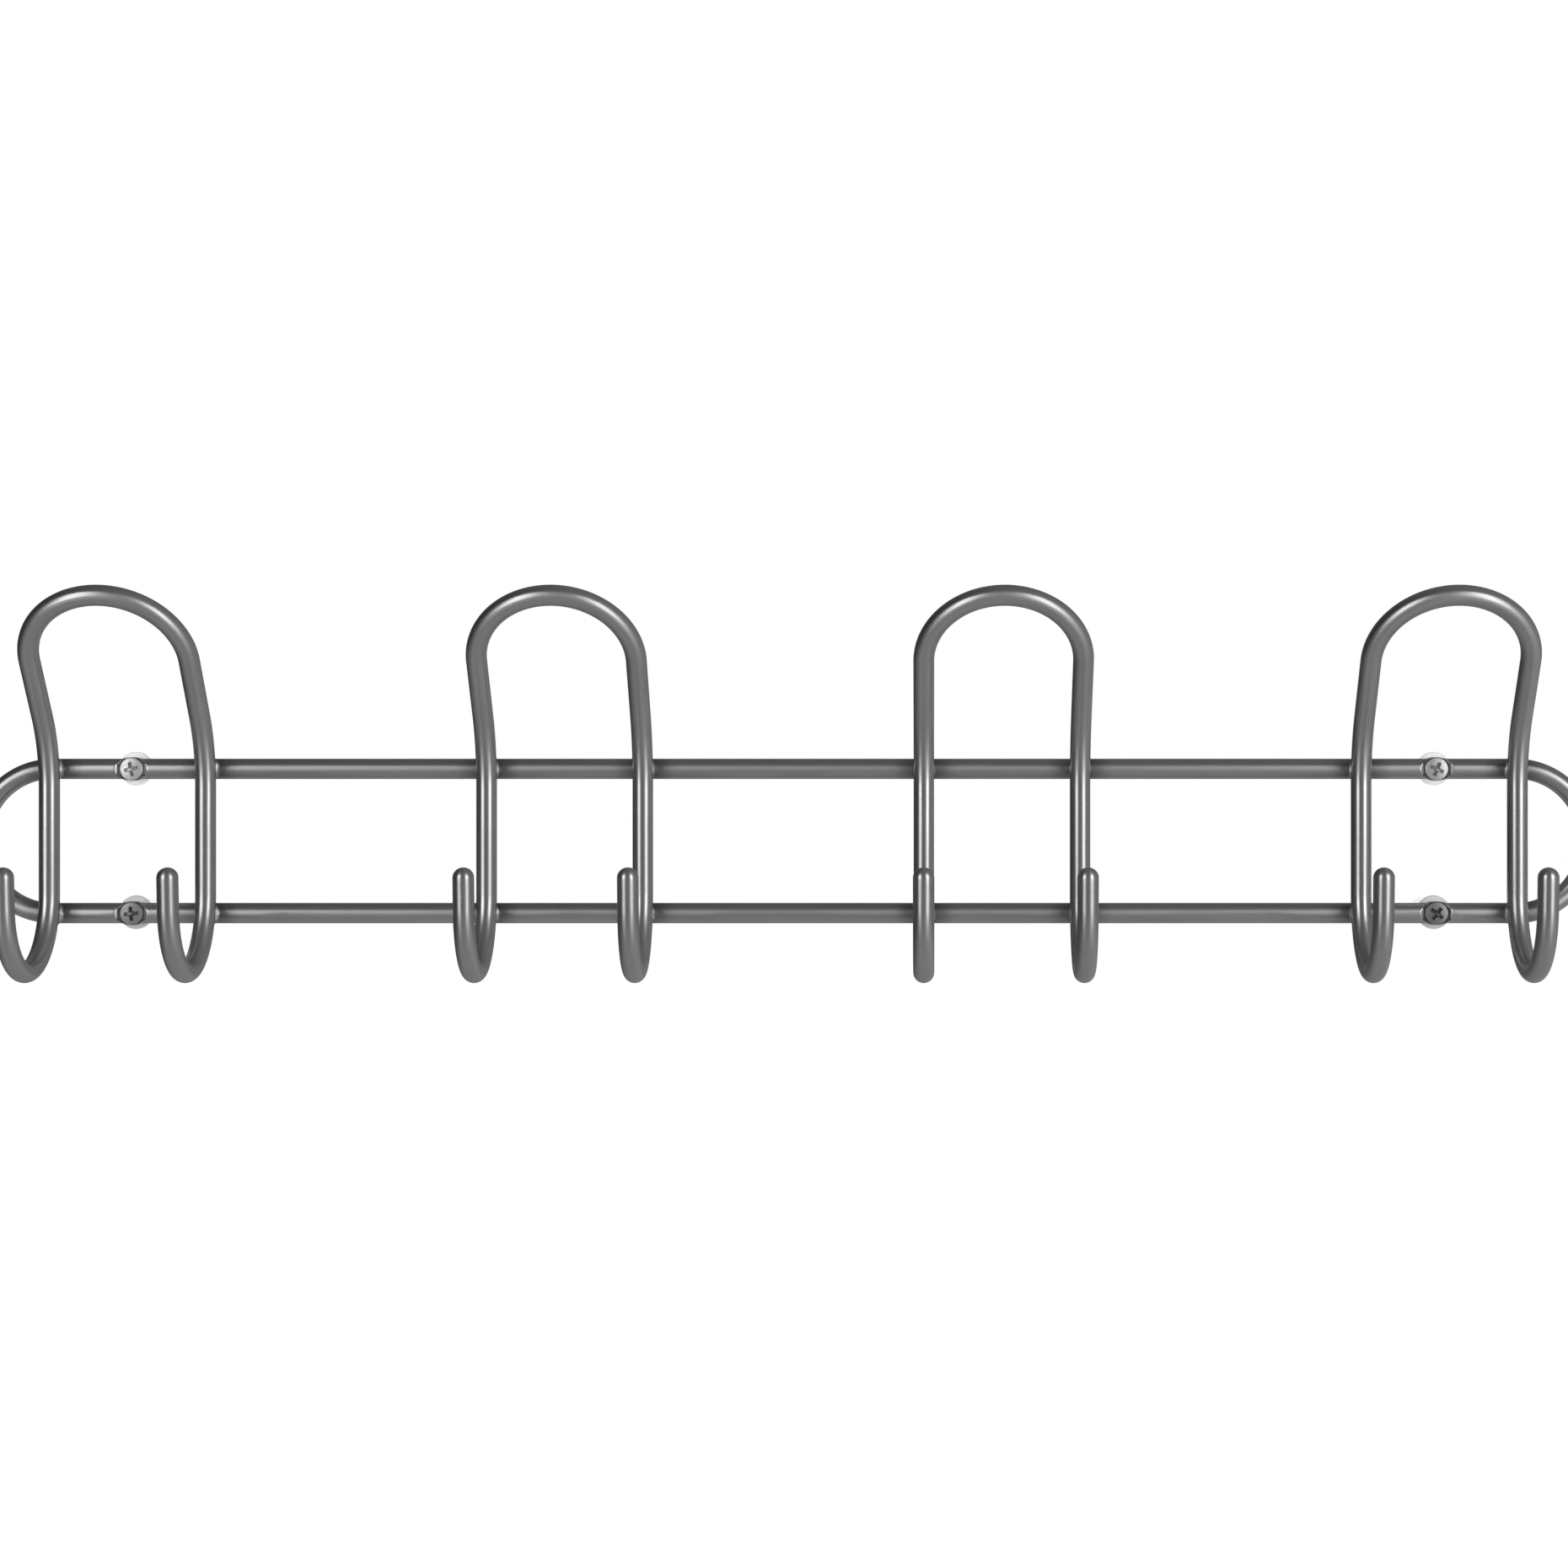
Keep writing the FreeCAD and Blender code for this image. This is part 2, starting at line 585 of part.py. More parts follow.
def draw_anchor_section(sketch):
    """Half section about the sketch's vertical axis: collar, plain body and nose."""
    bore = "dims.anchor_bore / 2"
    outer = "dims.anchor_dia / 2"
    collar = "dims.collar_dia / 2"
    draw_outline(sketch, (
        (bore, "-dims.collar_thick"),
        (f"{collar} - dims.collar_round", "-dims.collar_thick"),
        (collar, "-dims.collar_thick + dims.collar_round"),
        (collar, "0"),
        (outer, "0"),
        (outer, "dims.anchor_length - dims.barb_pitch"),
        ("dims.anchor_nose / 2", "dims.anchor_length"),
        (bore, "dims.anchor_length"),
    ))


def cut_barbs(body, name):
    """Saw-tooth grooves round the body, which leave barbs that point to the room."""
    groove_profile = make_sketch(body, f"{name}_groove_profile", "XY_Plane")
    outer = "dims.anchor_dia / 2"
    start = "dims.anchor_plain"
    draw_outline(groove_profile, (
        (f"{outer} - dims.barb_depth", start),
        (f"{outer} + 0.1", start),
        (f"{outer} + 0.1", f"{start} + dims.barb_pitch * 0.8"),
        (outer, f"{start} + dims.barb_pitch * 0.8"),
    ))
    groove = turn_profile(body, f"{name}_groove", groove_profile, kind="Groove")
    doc.recompute()
    barbs = body.newObject("PartDesign::LinearPattern", f"{name}_barbs")
    barbs.Originals = [groove]
    barbs.Direction = (groove_profile, ["V_Axis"])
    bind(barbs, Occurrences="dims.barb_count",
         Length="dims.barb_pitch * (dims.barb_count - 1)")
    body.Tip = barbs


def cut_split(body, name):
    """Slot along the body that lets the screw spread its two halves."""
    outline = make_sketch(body, f"{name}_split_outline", "XY_Plane")
    half = "dims.split_width / 2"
    start = "dims.anchor_plain"
    end = "dims.anchor_length + 1"
    draw_outline(outline, ((f"-{half}", start), (half, start), (half, end), (f"-{half}", end)))
    split = body.newObject("PartDesign::Pocket", f"{name}_split")
    split.Profile = outline
    split.Midplane = True
    bind(split, Length="2 * dims.anchor_dia")


def make_anchor(place):
    """Plastic plug along +Y: collar on the wall's face, body in the wall."""
    height, side = place.split("_")
    name = f"anchor_{place}"
    body = make_body(name)
    section = make_sketch(body, f"{name}_section", "XY_Plane")
    draw_anchor_section(section)
    turn_profile(body, f"{name}_turned", section)
    volume = solid_volume(body, "turning the section")
    cut_barbs(body, name)
    volume = check_cut(body, volume, "cutting the barbs")
    cut_split(body, name)
    check_cut(body, volume, "cutting the split")
    bind_position(body, f"{SIDES[side]} * dims.screw_spacing / 2", "0",
                  f"{HEIGHTS[height]} * dims.bar_spacing / 2")
    return body


# ---------------------------------------------------------------- whole rack

def check_document():
    """Stop on a failed object: recompute leaves one without raising an error."""
    for obj in doc.Objects:
        if "Invalid" in obj.State or "Error" in obj.State:
            raise RuntimeError(f"{obj.Label}: {obj.State}")


def write_parts(parts):
    for part in parts:
        shape = part.Shape
        if shape.isNull() or not shape.isValid() or len(shape.Solids) != 1:
            raise RuntimeError(f"{part.Label} is not one valid solid")
        shape.exportStep(f"parts/{part.Label}.step")
        box = shape.BoundBox
        print(f"{part.Label:24s} {shape.Volume:10.1f} mm3"
              f"  X {box.XMin:8.2f} {box.XMax:8.2f}"
              f"  Y {box.YMin:7.2f} {box.YMax:6.2f}"
              f"  Z {box.ZMin:7.2f} {box.ZMax:6.2f}")


make_sheet()
parts = [make_ring()]
parts += [make_hook(number) for number in range(1, HOOK_COUNT + 1)]
parts += make_welds()
parts += [make_screw(place) for place in SCREW_TURN]
parts += [make_anchor(place) for place in SCREW_TURN]
doc.recompute()
check_document()
write_parts(parts)
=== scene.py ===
import math

import bmesh
import bpy
from mathutils import Matrix, Vector, noise


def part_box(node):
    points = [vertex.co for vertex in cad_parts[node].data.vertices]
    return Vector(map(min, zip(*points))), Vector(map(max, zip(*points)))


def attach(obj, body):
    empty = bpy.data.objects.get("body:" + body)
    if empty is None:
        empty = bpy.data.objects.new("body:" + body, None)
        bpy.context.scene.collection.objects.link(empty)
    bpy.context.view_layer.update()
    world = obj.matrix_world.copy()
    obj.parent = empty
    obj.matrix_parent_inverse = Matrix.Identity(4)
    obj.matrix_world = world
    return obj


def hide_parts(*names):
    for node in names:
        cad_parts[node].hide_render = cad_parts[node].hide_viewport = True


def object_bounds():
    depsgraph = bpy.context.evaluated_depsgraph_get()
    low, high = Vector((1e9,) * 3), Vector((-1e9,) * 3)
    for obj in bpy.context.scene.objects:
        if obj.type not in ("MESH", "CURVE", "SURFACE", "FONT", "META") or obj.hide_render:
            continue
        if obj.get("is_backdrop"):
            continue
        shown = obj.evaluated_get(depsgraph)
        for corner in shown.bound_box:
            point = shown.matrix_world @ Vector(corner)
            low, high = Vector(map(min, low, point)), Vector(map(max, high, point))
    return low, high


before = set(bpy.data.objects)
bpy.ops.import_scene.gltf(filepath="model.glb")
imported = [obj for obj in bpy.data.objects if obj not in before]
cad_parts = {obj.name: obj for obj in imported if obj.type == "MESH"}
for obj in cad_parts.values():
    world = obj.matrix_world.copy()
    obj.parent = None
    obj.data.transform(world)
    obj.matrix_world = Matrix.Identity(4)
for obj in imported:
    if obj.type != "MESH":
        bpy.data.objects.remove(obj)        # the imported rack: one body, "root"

# Wall hook rack. +X runs along the rack, the room is on the -Y side, +Z is up and
# the wall's face is Y = 0. Lengths are in metres.

MM = 0.001
ROD_R = 3.175 * MM

# Ring
BAR_SPACING = 45.0 * MM
SEAT_WIDTH = 7.4 * MM
SEAT_THICK = 5.2 * MM
SEAT_LENGTH = 11.4 * MM
SEAT_DEPTH = 13.0 * MM
FLAT_LENGTH = 8.8 * MM
HOLE_R = 2.0 * MM
SINK_R = 3.85 * MM
SWELL_BLEND = 0.3 * MM
FLAT_BLEND = 0.35 * MM
# Painted shade on the bars beside each welded leg: how far it reaches and how dark it gets.
LEG_SHADE_REACH = 6.5 * MM
LEG_SHADE_STRENGTH = 0.65

# Hook
LEG_SPACING = 48.4 * MM
HOOK_RADIUS = 22.4 * MM
TIP_LEAN = math.radians(4.0)
TIP_LENGTH = 9.3 * MM
DOME_HEIGHT = 3.0 * MM
LEG_LENGTH = 32.6 * MM
BEND_RADIUS = 36.6 * MM
LOOP_LEAN = math.radians(36.6)
LOOP_STRAIGHT = 21.5 * MM

# Screw, measured from its head's edge along +Y
HEAD_R = 3.55 * MM
HEAD_LAND = 0.15 * MM
HEAD_DOME = 0.4 * MM
SHANK_R = 1.75 * MM
CORE_R = 1.25 * MM
THREAD_START = 9.0 * MM
THREAD_PITCH = 1.4 * MM
POINT_LENGTH = 3.0 * MM
RECESS_ARM = 2.25 * MM
RECESS_SLOT = 0.58 * MM
RECESS_FILLET = 0.55 * MM
RECESS_DEPTH = 2.0 * MM

# Anchor
ANCHOR_R = 3.0 * MM
ANCHOR_BORE_R = 1.85 * MM
COLLAR_THICK = 1.5 * MM
ANCHOR_PLAIN = 8.0 * MM
BARB_PITCH = 3.0 * MM
BARB_DEPTH = 0.5 * MM
NOSE_R = 2.3 * MM
SPLIT_WIDTH = 0.9 * MM
COLLAR_HAZE = 0.85
BODY_HAZE = 0.5
# Painted glow of the anchor bodies.
BODY_PAINTED_GLOW = 0.5

HOOKS = (1, 2, 3, 4)
SIDES = {"left": -1, "right": 1}
HEIGHTS = {"top": 1, "bottom": -1}
# How far each driver recess is turned, in degrees, seen from the room.
SCREW_TURN = {"top_left": 12.0, "bottom_left": 5.0, "top_right": -24.0, "bottom_right": -38.0}
# Painted glow of the milky anchors, brighter on the top ones, 0 to 1, standing in for light they pass
# on.
ANCHOR_PAINTED_GLOW = {"top": 0.24, "bottom": 0.03}
# Painted light and shade on each screw's plating, 0 to 1: the top screws are painted lighter, the
# bottom ones darker.
SCREW_PAINTED_LIGHT = {"top_left": 0.75, "bottom_left": 0.3, "top_right": 0.6, "bottom_right": 0.2}

# Lamps: name, place, width, height and power for each square metre.
LAMPS = (
    ("softbox_left", (-1.07, -1.32, 0.33), 0.74, 1.3, 11.0),
    ("softbox_right", (0.886, -0.95, 0.25), 0.56, 1.0, 12.2),
    ("glow_left", (-1.07, -1.32, -0.75), 0.74, 0.7, 2.0),
    ("glow_right", (0.886, -0.95, -0.58), 0.56, 0.6, 2.0),
)
# Grey of the studio from straight down, 0, to straight up, 1.
STUDIO_GREYS = (
    (0.0, 0.42), (0.3, 0.34), (0.44, 0.2), (0.5, 0.27), (0.56, 0.2), (0.8, 0.2), (1.0, 0.22),
)
CAMERA_OFFSET = Vector((0.0448, -0.908, 0.0491))
FLOOR_Z = -1.4
FLOOR_HALF = 12.0

UP = Vector((0, 0, 1))
ACROSS = Vector((1, 0, 0))
INTO_WALL = Vector((0, 1, 0))

cad_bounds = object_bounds()


def middle(node):
    """Middle of a CAD node's box."""
    low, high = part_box(node)
    return (low + high) / 2


screw_x = abs(middle("screw_top_right").x)
leg_plane_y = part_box("hook_1")[1].y - ROD_R
ring_plane_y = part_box("frame_ring")[1].y - ROD_R


# ---------------------------------------------------------------- camera, light, floor

def add_camera():
    """Level view from 0.91 m, a little right of the middle and above it."""
    data = bpy.data.cameras.new("camera")
    data.sensor_width = 36.0
    data.lens = 66.8
    data.shift_x = -0.0918
    data.shift_y = -0.064
    camera = bpy.data.objects.new("camera", data)
    camera.location = middle("frame_ring") + CAMERA_OFFSET
    camera.rotation_euler = (math.pi / 2, 0, 0)
    bpy.context.scene.collection.objects.link(camera)
    bpy.context.scene.camera = camera


def add_lamp(name, place, width, height, level):
    """Rectangular light aimed at the rack; level is its power for each square metre."""
    data = bpy.data.lights.new(name, "AREA")
    data.shape = "RECTANGLE"
    data.size = width
    data.size_y = height
    data.energy = level * width * height
    light = bpy.data.objects.new(name, data)
    light.location = place
    aim = middle("frame_ring") - Vector(place)
    light.rotation_euler = aim.to_track_quat("-Z", "Y").to_euler()
    bpy.context.scene.collection.objects.link(light)


def add_world():
    """Dim studio that the metal reflects, darker low on the left; the background is white."""
    world = bpy.data.worlds.new("studio")
    world.use_nodes = True
    bpy.context.scene.world = world
    tree = world.node_tree
    tree.nodes.clear()
    output = tree.nodes.new("ShaderNodeOutputWorld")
    way = tree.nodes.new("ShaderNodeTexCoord")
    parts = tree.nodes.new("ShaderNodeSeparateXYZ")
    height = tree.nodes.new("ShaderNodeMapRange")
    height.inputs["From Min"].default_value = -1.0
    height.inputs["From Max"].default_value = 1.0
    shade = tree.nodes.new("ShaderNodeValToRGB")
    elements = shade.color_ramp.elements
    for index, (place, grey) in enumerate(STUDIO_GREYS):
        stop = elements[index] if index < 2 else elements.new(place)
        stop.position = place
        stop.color = (grey, grey, grey, 1)
    across = tree.nodes.new("ShaderNodeMapRange")
    across.inputs["From Min"].default_value = -1.0
    across.inputs["From Max"].default_value = 1.0
    across.inputs["To Min"].default_value = -0.85
    across.inputs["To Max"].default_value = 0.65
    rise = tree.nodes.new("ShaderNodeMapRange")
    rise.inputs["From Min"].default_value = -0.9
    rise.inputs["From Max"].default_value = -0.3
    studio = tree.nodes.new("ShaderNodeBackground")
    white = tree.nodes.new("ShaderNodeBackground")
    white.inputs["Color"].default_value = (1, 1, 1, 1)
    seen = tree.nodes.new("ShaderNodeLightPath")
    mix = tree.nodes.new("ShaderNodeMixShader")
    link = tree.links.new
    link(way.outputs["Generated"], parts.inputs[0])
    link(parts.outputs["Z"], height.inputs["Value"])
    link(parts.outputs["X"], across.inputs["Value"])
    link(parts.outputs["Z"], rise.inputs["Value"])
    sideways = math_node(tree, "MULTIPLY", across.outputs["Result"], rise.outputs["Result"])
    link(math_node(tree, "ADD", sideways, 1.0), studio.inputs["Strength"])
    link(height.outputs["Result"], shade.inputs["Fac"])
    link(shade.outputs["Color"], studio.inputs["Color"])
    link(seen.outputs["Is Camera Ray"], mix.inputs["Fac"])
    link(studio.outputs[0], mix.inputs[1])
    link(white.outputs[0], mix.inputs[2])
    link(mix.outputs[0], output.inputs["Surface"])


def add_floor():
    """Pale floor well below the rack, bright enough to meet the white background."""
    mesh = bpy.data.meshes.new("floor")
    half = FLOOR_HALF
    corners = [(-half, -half, 0), (half, -half, 0), (half, half, 0), (-half, half, 0)]
    mesh.from_pydata(corners, [], [(0, 1, 2, 3)])
    floor = bpy.data.objects.new("floor", mesh)
    floor.location = (0, 0, FLOOR_Z)
    floor.visible_glossy = False
    floor.visible_diffuse = False
    floor.visible_shadow = False
    paint = bpy.data.materials.new("pale_floor")
    paint.use_nodes = True
    shader = paint.node_tree.nodes["Principled BSDF"]
    shader.inputs["Base Color"].default_value = (0.9, 0.9, 0.9, 1)
    shader.inputs["Roughness"].default_value = 0.9
    shader.inputs["Emission Color"].default_value = (1, 1, 1, 1)
    shader.inputs["Emission Strength"].default_value = 0.95
    mesh.materials.append(paint)
    bpy.context.scene.collection.objects.link(floor)
    floor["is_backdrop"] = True


# ---------------------------------------------------------------- materials

def new_material(name):
    """A material with its node tree and its main shader."""
    material = bpy.data.materials.new(name)
    material.use_nodes = True
    tree = material.node_tree
    return material, tree, tree.nodes["Principled BSDF"]


def noise_node(tree, vector, scale, detail, stretch=(1, 1, 1)):
    """Noise over the piece's own coordinates, stretched along any of them."""
    mapping = tree.nodes.new("ShaderNodeMapping")
    mapping.inputs["Scale"].default_value = stretch
    tree.links.new(vector, mapping.inputs["Vector"])
    texture = tree.nodes.new("ShaderNodeTexNoise")
    texture.inputs["Scale"].default_value = scale
    texture.inputs["Detail"].default_value = detail
    tree.links.new(mapping.outputs["Vector"], texture.inputs["Vector"])
    return texture.outputs["Fac"]


def map_range(tree, value, low, high, from_low=0.3, from_high=0.7):
    """A value spread from one range, by default the middle of a noise, over another."""
    node = tree.nodes.new("ShaderNodeMapRange")
    node.inputs["From Min"].default_value = from_low
    node.inputs["From Max"].default_value = from_high
    node.inputs["To Min"].default_value = low
    node.inputs["To Max"].default_value = high
    tree.links.new(value, node.inputs["Value"])
    return node.outputs["Result"]


def math_node(tree, operation, first, second):
    """Sum, difference or product of two values, either of which may be a plain number."""
    node = tree.nodes.new("ShaderNodeMath")
    node.operation = operation
    for socket, value in zip(node.inputs, (first, second)):
        if isinstance(value, float):
            socket.default_value = value
        else:
            tree.links.new(value, socket)
    return node.outputs[0]


def grey_mix(tree, factor, dark, light):
    """Blend from a dark shade to a light one."""
    node = tree.nodes.new("ShaderNodeMix")
    node.data_type = "RGBA"
    node.inputs["A"].default_value = (*dark, 1)
    node.inputs["B"].default_value = (*light, 1)
    tree.links.new(factor, node.inputs["Factor"])
    return node.outputs["Result"]


def bump_node(tree, height, strength, distance, before=None):
    """Small relief, laid over an earlier one if there is one."""
    node = tree.nodes.new("ShaderNodeBump")
    node.inputs["Strength"].default_value = strength
    node.inputs["Distance"].default_value = distance
    tree.links.new(height, node.inputs["Height"])
    if before:
        tree.links.new(before, node.inputs["Normal"])
    return node.outputs["Normal"]


def attribute(tree, name, output="Vector"):
    """A value that the mesh stores at its points."""
    node = tree.nodes.new("ShaderNodeAttribute")
    node.attribute_name = name
    return node.outputs[output]


def plated_rod():
    """Satin dark nickel over drawn rod: draw lines, cloudy plating, pits and wear, with painted shade
    on the coined flats, in the countersinks and beside the welds.
    """
    material, tree, shader = new_material("satin_nickel_rod")
    rod = attribute(tree, "rod_space")
    wear = attribute(tree, "wear", "Fac")
    clouds = noise_node(tree, rod, 90, 4, (1, 1, 0.35))
    lines = noise_node(tree, rod, 2600, 2, (1, 1, 0.02))
    grain = noise_node(tree, rod, 4200, 2)
    ripple = noise_node(tree, rod, 160, 2, (1, 1, 0.3))
    pits = noise_node(tree, rod, 900, 1)
    tone = math_node(tree, "ADD", map_range(tree, clouds, 0, 0.7),
                     math_node(tree, "MULTIPLY", wear, 0.5))
    colour = grey_mix(tree, tone, (0.37, 0.37, 0.373), (0.47, 0.47, 0.472))
    # Painted shade: the base colour goes near black where the mesh stores it.
    painted_shade = attribute(tree, "painted_shade", "Fac")
    painted_shade_mix = tree.nodes.new("ShaderNodeMix")
    painted_shade_mix.data_type = "RGBA"
    painted_shade_mix.inputs["B"].default_value = (0.09, 0.09, 0.092, 1)
    tree.links.new(painted_shade, painted_shade_mix.inputs["Factor"])
    tree.links.new(colour, painted_shade_mix.inputs["A"])
    tree.links.new(painted_shade_mix.outputs["Result"], shader.inputs["Base Color"])
    shader.inputs["Anisotropic"].default_value = 0.55
    tree.links.new(attribute(tree, "rod_way"), shader.inputs["Tangent"])
    rough = math_node(tree, "SUBTRACT", map_range(tree, clouds, 0.38, 0.31),
                      math_node(tree, "MULTIPLY", wear, 0.05))
    tree.links.new(rough, shader.inputs["Roughness"])
    shader.inputs["Metallic"].default_value = 1.0
    normal = bump_node(tree, ripple, 0.12, 0.00006)
    normal = bump_node(tree, lines, 0.25, 0.000004, normal)
    normal = bump_node(tree, grain, 0.15, 0.000003, normal)
    pit_height = map_range(tree, pits, -1.0, 0.0, 0.2, 0.3)
    normal = bump_node(tree, pit_height, 0.2, 0.00003, normal)
    tree.links.new(normal, shader.inputs["Normal"])
    return material


def weld_metal():
    """Plated weld bead: darker, duller and lumpier than the rod."""
    material, tree, shader = new_material("plated_weld")
    place = tree.nodes.new("ShaderNodeTexCoord").outputs["Object"]
    clouds = noise_node(tree, place, 900, 3)
    lumps = noise_node(tree, place, 2200, 3)
    colour = grey_mix(tree, map_range(tree, clouds, 0, 1), (0.27, 0.27, 0.272), (0.4, 0.4, 0.402))
    tree.links.new(colour, shader.inputs["Base Color"])
    tree.links.new(map_range(tree, clouds, 0.5, 0.36), shader.inputs["Roughness"])
    shader.inputs["Metallic"].default_value = 1.0
    tree.links.new(bump_node(tree, lumps, 0.5, 0.00005), shader.inputs["Normal"])
    return material


def screw_steel():
    """Zinc-plated screw: bright, with turning marks and small dents."""
    material, tree, shader = new_material("zinc_screw")
    place = attribute(tree, "lathe_space")
    clouds = noise_node(tree, place, 1400, 3)
    turning = noise_node(tree, place, 5200, 2, (1, 0.03, 1))
    dents = noise_node(tree, place, 2400, 2)
    # Painted light and shade: the colour is scaled by how brightly each screw's head is lit.
    painted_light = attribute(tree, "painted_light", "Fac")
    tone = math_node(tree, "MULTIPLY", map_range(tree, clouds, 0.75, 1.0), painted_light)
    colour = grey_mix(tree, tone, (0.12, 0.12, 0.12), (0.86, 0.86, 0.86))
    tree.links.new(colour, shader.inputs["Base Color"])
    tree.links.new(map_range(tree, clouds, 0.52, 0.42), shader.inputs["Roughness"])
    shader.inputs["Metallic"].default_value = 0.85
    normal = bump_node(tree, turning, 0.2, 0.00001)
    normal = bump_node(tree, dents, 0.3, 0.00003, normal)
    tree.links.new(normal, shader.inputs["Normal"])
    return material


def anchor_nylon():
    """Milky nylon that lets some of the background through, with a fine moulded grain and a painted
    glow, though it is no lamp.
    """
    material, tree, shader = new_material("milky_nylon")
    place = tree.nodes.new("ShaderNodeTexCoord").outputs["Object"]
    clouds = noise_node(tree, place, 500, 3)
    grain = noise_node(tree, place, 6000, 2)
    colour = grey_mix(tree, map_range(tree, clouds, 0, 1), (0.83, 0.84, 0.84), (0.92, 0.93, 0.93))
    tree.links.new(colour, shader.inputs["Base Color"])
    tree.links.new(map_range(tree, clouds, 0.5, 0.38), shader.inputs["Roughness"])
    shader.inputs["Subsurface Weight"].default_value = 0.4
    shader.inputs["Subsurface Radius"].default_value = (0.002, 0.002, 0.002)
    # Painted glow: emission stands in for light coming through the nylon.
    shader.inputs["Emission Color"].default_value = (0.97, 0.98, 0.98, 1)
    tree.links.new(attribute(tree, "painted_glow", "Fac"), shader.inputs["Emission Strength"])
    tree.links.new(attribute(tree, "haze", "Fac"), shader.inputs["Alpha"])
    tree.links.new(bump_node(tree, grain, 0.3, 0.00002), shader.inputs["Normal"])
    return material


# ---------------------------------------------------------------- mesh helpers

class Walker:
    """Walks along a rod's centreline and leaves a station every step."""

    def __init__(self, start, way, side):
        self.place = start.copy()
        self.way = way.normalized()
        self.side = side.normalized()
        self.gone = 0.0
        self.stations = []
        self.leave()

    def leave(self):
        other = self.way.cross(self.side)
        self.stations.append((self.place.copy(), self.side.copy(), other, self.gone))

    def straight(self, length, step):
        count = max(1, round(length / step))
        for _ in range(count):
            self.place += self.way * (length / count)
            self.gone += length / count
            self.leave()

    def turn(self, radius, angle, axis, step):
        sign = math.copysign(1, angle)
        centre = self.place - sign * radius * self.way.cross(axis)
        length = radius * abs(angle)
        count = max(2, round(length / step))
        swing = Matrix.Rotation(angle / count, 3, axis)
        for _ in range(count):
            self.place = centre + swing @ (self.place - centre)
            self.way = swing @ self.way
            self.side = swing @ self.side
            self.gone += length / count
            self.leave()


def finish_piece(name, mesh, material, nodes, sharp_degrees=35):
    """Smooth-shade a mesh, give it its finish and let it stand for its CAD nodes."""
    work = bmesh.new()
    work.from_mesh(mesh)
    bmesh.ops.remove_doubles(work, verts=work.verts, dist=1e-7)
    bmesh.ops.recalc_face_normals(work, faces=work.faces)
    work.to_mesh(mesh)
    work.free()
    mesh.materials.clear()
    mesh.materials.append(material)
    mesh.shade_smooth()
    mesh.set_sharp_from_angle(angle=math.radians(sharp_degrees))
    piece = bpy.data.objects.new(name, mesh)
    bpy.context.scene.collection.objects.link(piece)
    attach(piece, "root")
    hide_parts(*nodes)


def rod_mesh(name, stations, segments, radius_at, wear_at, closed=False):
    """Rod of quads round a list of stations, with each point's place on the straightened rod."""
    points, spaces, wears, ways = [], [], [], []
    for place, side, other, gone in stations:
        ways += [*side.cross(other)] * segments
        for k in range(segments):
            angle = 2 * math.pi * k / segments
            spoke = side * math.cos(angle) + other * math.sin(angle)
            reach = radius_at(place, spoke, gone)
            points.append(place + spoke * reach)
            spaces.append((ROD_R * math.cos(angle), ROD_R * math.sin(angle), gone))
            wears.append(wear_at(place, spoke, gone))
    count = len(stations)
    faces = []
    for i in range(count if closed else count - 1):
        here, after = i * segments, (i + 1) % count * segments
        for k in range(segments):
            turn = (k + 1) % segments
            faces.append((here + k, here + turn, after + turn, after + k))
    if not closed:
        faces.append(tuple(range(segments)))
        faces.append(tuple(range((count - 1) * segments, count * segments)))
    mesh = bpy.data.meshes.new(name)
    mesh.from_pydata(points, [], faces)
    space = mesh.attributes.new("rod_space", "FLOAT_VECTOR", "POINT")
    space.data.foreach_set("vector", [value for spot in spaces for value in spot])
    mesh.attributes.new("rod_way", "FLOAT_VECTOR", "POINT").data.foreach_set("vector", ways)
    wear = mesh.attributes.new("wear", "FLOAT", "POINT")
    wear.data.foreach_set("value", wears)
    return mesh


def lathe_mesh(name, rows, segments, closed=False):
    """Turned mesh about +Y from rows of (radius, y); a radius may depend on the angle."""
    points = []
    for radius, depth in rows:
        for k in range(segments):
            angle = 2 * math.pi * k / segments
            reach = radius(angle) if callable(radius) else radius
            points.append((reach * math.cos(angle), depth, reach * math.sin(angle)))
    faces = []
    count = len(rows)
    for i in range(count if closed else count - 1):
        here, after = i * segments, (i + 1) % count * segments
        for k in range(segments):
            turn = (k + 1) % segments
            faces.append((here + k, here + turn, after + turn, after + k))
    if not closed:
        faces.append(tuple(range(segments)))
        faces.append(tuple(range((count - 1) * segments, count * segments)))
    mesh = bpy.data.meshes.new(name)
    mesh.from_pydata(points, [], faces)
    return mesh


def keep_lathe_space(mesh):
    """Store each point's radius, angle and depth before the mesh is put in place."""
    values = []
    for vertex in mesh.vertices:
        x, y, z = vertex.co
        values += [math.hypot(x, z), math.atan2(z, x) * 0.003, y]
    space = mesh.attributes.new("lathe_space", "FLOAT_VECTOR", "POINT")
    space.data.foreach_set("vector", values)


def face_outward(mesh):
    """Turn every face outward, so that a cut keeps the right side."""
    work = bmesh.new()
    work.from_mesh(mesh)
    bmesh.ops.recalc_face_normals(work, faces=work.faces)
    work.to_mesh(mesh)
    work.free()


